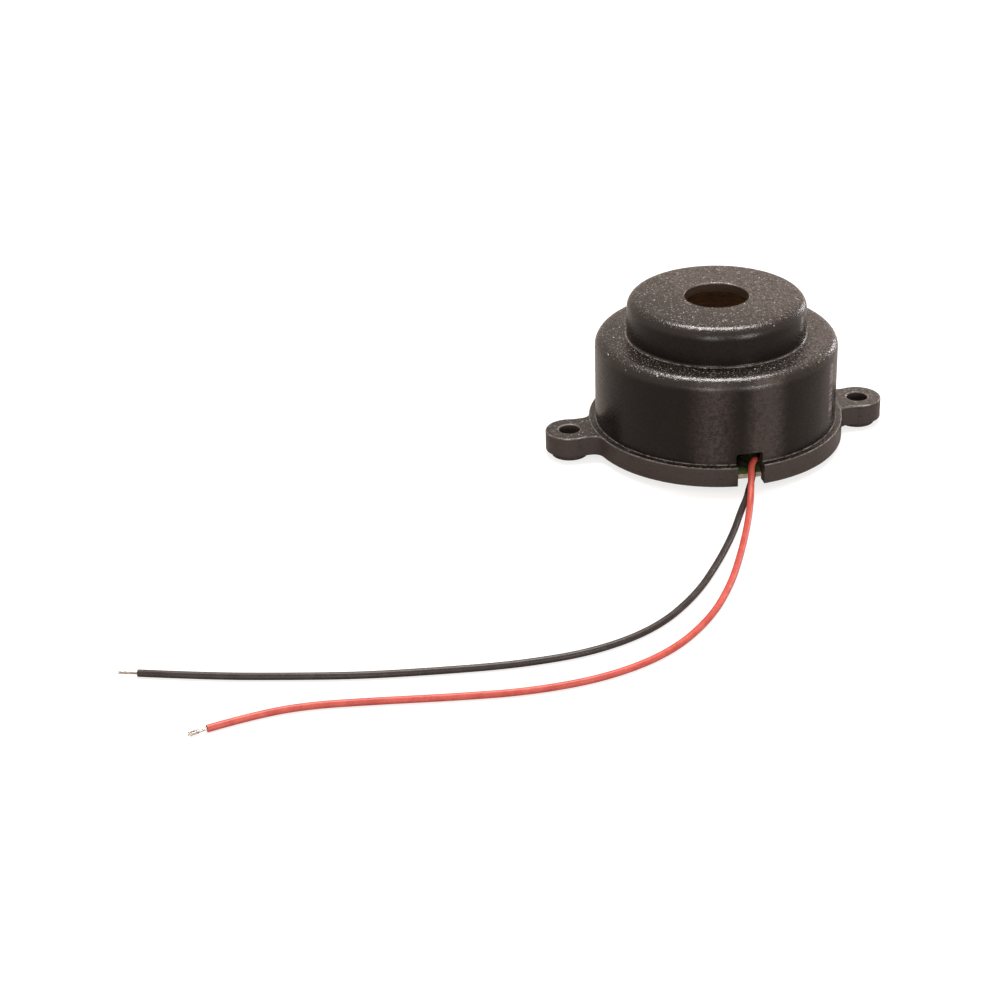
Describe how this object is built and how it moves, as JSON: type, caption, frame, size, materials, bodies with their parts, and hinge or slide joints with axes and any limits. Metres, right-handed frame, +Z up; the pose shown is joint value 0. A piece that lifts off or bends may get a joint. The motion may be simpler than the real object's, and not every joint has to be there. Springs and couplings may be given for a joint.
{
  "type": "piezo buzzer",
  "caption": "Panel-mount piezo buzzer: a stepped round black case with a central sound port, two screw lugs and a pair of flying leads, with its drive circuit inside.",
  "frame": {"origin": "on the axis of the case, in the plane of the two lug pads that it stands on", "axes": "+Z up through the sound port, X through the two lug holes, the lead slot faces -Y"},
  "size_m": [0.0987, 0.0703, 0.0192],
  "materials": {
    "black_plastic": "satin black moulding",
    "red_insulation": "satin",
    "black_insulation": "satin",
    "tinned_copper": "tinned",
    "solder": "bright solder",
    "brass_sheet": "rolled",
    "piezo_ceramic": "fired",
    "silver_print": "matt silver",
    "silicone": "cured silicone",
    "board_laminate": "solder resist on glass laminate",
    "ferrite": "sintered",
    "copper_winding": "enamelled",
    "transistor_resin": "moulded resin",
    "resistor_enamel": "enamel",
    "diode_glass": "glass",
    "capacitor_resin": "dipped resin",
    "jumper_insulation": "satin"
  },
  "bodies": {
    "root": {"housing": "black_plastic", "diaphragm_adhesive": "silicone", "diaphragm": "brass_sheet", "ceramic_disc": "piezo_ceramic", "main_electrode": "silver_print", "feedback_electrode": "silver_print", "circuit_board": "board_laminate", "board_adhesive": "silicone", "board_joints": "solder", "transistor": "transistor_resin", "coil_core": "ferrite", "coil_winding": "copper_winding", "resistor_1": "resistor_enamel", "resistor_2": "resistor_enamel", "resistor_3": "resistor_enamel", "diode": "diode_glass", "capacitor": "capacitor_resin", "lead_joints": "solder", "board_bumps": "solder", "diaphragm_bumps": "solder", "ground_jumper": "jumper_insulation", "drive_jumper": "jumper_insulation", "feedback_jumper": "jumper_insulation", "lead_red": "red_insulation", "lead_red_end": "tinned_copper", "lead_black": "black_insulation", "lead_black_end": "tinned_copper"}
  },
  "joints": []
}
